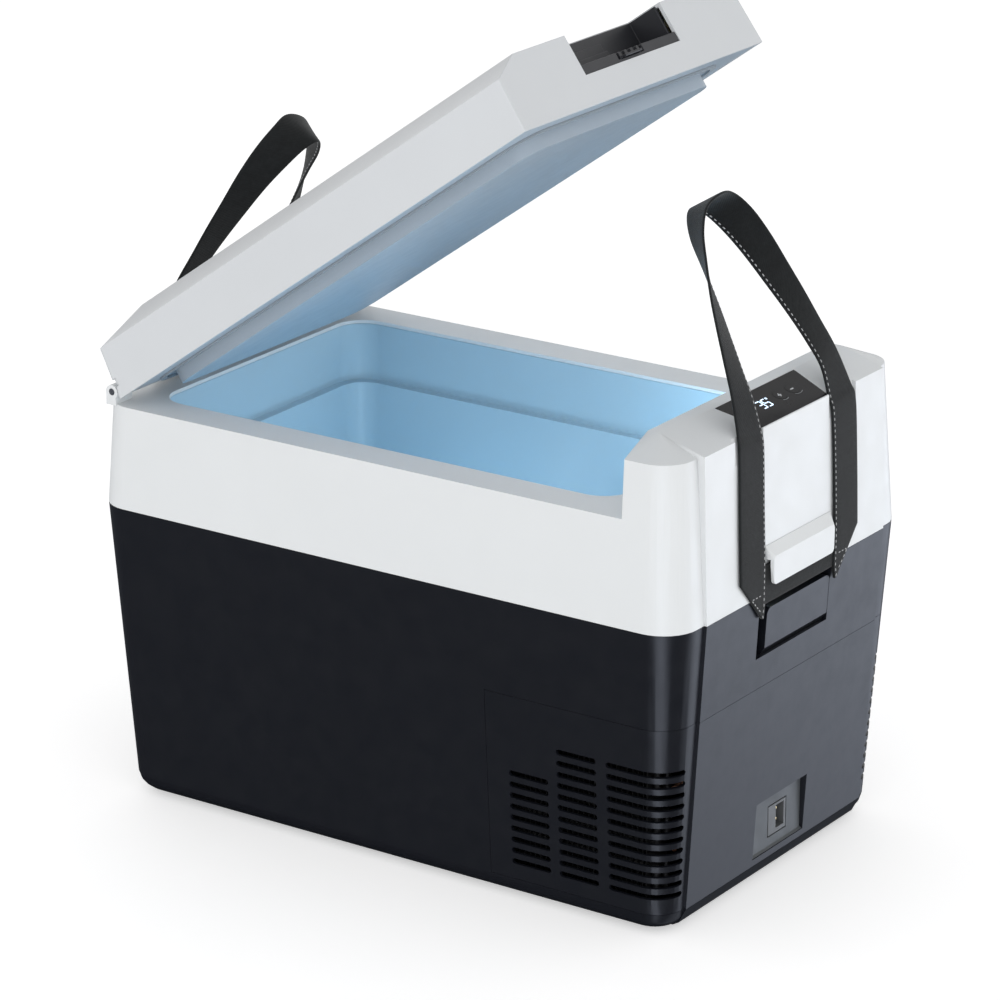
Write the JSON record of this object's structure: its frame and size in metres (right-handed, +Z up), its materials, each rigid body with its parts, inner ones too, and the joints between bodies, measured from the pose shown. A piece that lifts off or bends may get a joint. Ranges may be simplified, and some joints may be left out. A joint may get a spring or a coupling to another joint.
{
  "type": "compressor cooler fridge",
  "caption": "Portable compressor cooler: dark vented tub, light upper frame, hinged lid standing partly open over an insulated cold box, raised control end, webbing carry strap at each end.",
  "frame": {"origin": "middle of the footprint, on the floor under the rubber feet", "axes": "+X to the control end, -Y to the long front side, +Z up; the lid is partly open at rest"},
  "size_m": [0.5892, 0.357, 0.6918],
  "materials": {
    "dark_shell": "fine moulded texture, satin",
    "light_shell": "satin moulded light grey",
    "liner": "smooth moulded",
    "foam": "foamed polyurethane",
    "inlet_plastic": "fine moulded texture",
    "black_plastic": "satin",
    "panel_gloss": "polished black",
    "webbing": "flat woven webbing with light stitching",
    "steel": "plain",
    "zinc_sheet": "zinc coated sheet",
    "compressor_paint": "black enamel",
    "aluminium": "mill finish",
    "copper": "bare copper",
    "brass_pin": "plated contact",
    "gasket_grey": "soft grey seal",
    "rubber": "moulded rubber",
    "board": "solder mask",
    "light_lens": "diffusing lens"
  },
  "bodies": {
    "body": {"lower_tub": "dark_shell", "upper_frame": "light_shell", "inner_liner": "liner", "foam_insulation": "foam", "evaporator_panel": "aluminium", "machine_bulkhead": "zinc_sheet", "machine_cover": "dark_shell", "cover_screws": "steel", "compressor": "compressor_paint", "compressor_plate": "zinc_sheet", "compressor_grommets": "rubber", "compressor_bolts": "steel", "condenser": "aluminium", "fan_shroud": "black_plastic", "fan_motor": "black_plastic", "filter_drier": "copper", "suction_line": "copper", "discharge_line": "copper", "capillary_line": "copper", "electronics_module": "black_plastic", "inlet_cable": "rubber", "inlet_tray": "inlet_plastic", "inlet_socket": "black_plastic", "inlet_pins": "brass_pin", "rubber_feet": "rubber", "control_panel": "panel_gloss", "display_module": "light_lens", "control_board": "board", "status_lamp": "light_lens", "interior_light": "light_lens", "temperature_sensor": "liner", "lid_striker": "black_plastic", "hinge_pin": "steel", "right_strap_base": "webbing", "right_strap_hook": "light_shell", "right_strap_tongue": "dark_shell", "left_strap_base": "webbing", "left_strap_hook": "light_shell", "left_strap_tongue": "dark_shell"},
    "lid": {"lid_cover": "light_shell", "lid_inner_panel": "liner", "lid_foam": "foam", "lid_gasket": "gasket_grey", "latch_housing": "black_plastic", "latch_springs": "steel"},
    "latch": {"latch_slider": "black_plastic"},
    "fan": {"fan_rotor": "black_plastic"},
    "button_power": {"power_button": "panel_gloss"},
    "button_plus": {"plus_button": "panel_gloss"},
    "button_minus": {"minus_button": "panel_gloss"},
    "strap_right": {"right_strap": "webbing"},
    "strap_left": {"left_strap": "webbing"}
  },
  "joints": [
    {"name": "lid_hinge", "type": "hinge", "parent": "body", "child": "lid", "pos_m": [-0.2685, 0, 0.3604], "axis": [0, -1, 0], "range_deg": [-35.5, 54.5], "deforming": ["left_strap", "right_strap"]},
    {"name": "latch_slide", "type": "slide", "parent": "lid", "child": "latch", "axis": [-0.8141, 0, -0.5807], "range_m": [0, 0.006], "stiffness_N_per_m": 400, "deforming": ["latch_springs"]},
    {"name": "fan_spin", "type": "hinge", "parent": "body", "child": "fan", "pos_m": [0.183, -0.111, 0.075], "axis": [0, 1, 0], "continuous": true},
    {"name": "power_press", "type": "slide", "parent": "body", "child": "button_power", "axis": [-0.2863, 0, -0.9581], "range_m": [0, 0.0008], "stiffness_N_per_m": 500},
    {"name": "plus_press", "type": "slide", "parent": "body", "child": "button_plus", "axis": [-0.2863, 0, -0.9581], "range_m": [0, 0.0008], "stiffness_N_per_m": 500},
    {"name": "minus_press", "type": "slide", "parent": "body", "child": "button_minus", "axis": [-0.2863, 0, -0.9581], "range_m": [0, 0.0008], "stiffness_N_per_m": 500},
    {"name": "right_strap_fold", "type": "hinge", "parent": "body", "child": "strap_right", "pos_m": [0.29, 0, 0.276], "axis": [0, 1, 0], "range_deg": [0, 110]},
    {"name": "left_strap_fold", "type": "hinge", "parent": "body", "child": "strap_left", "pos_m": [-0.29, 0, 0.276], "axis": [0, -1, 0], "range_deg": [0, 110]}
  ]
}
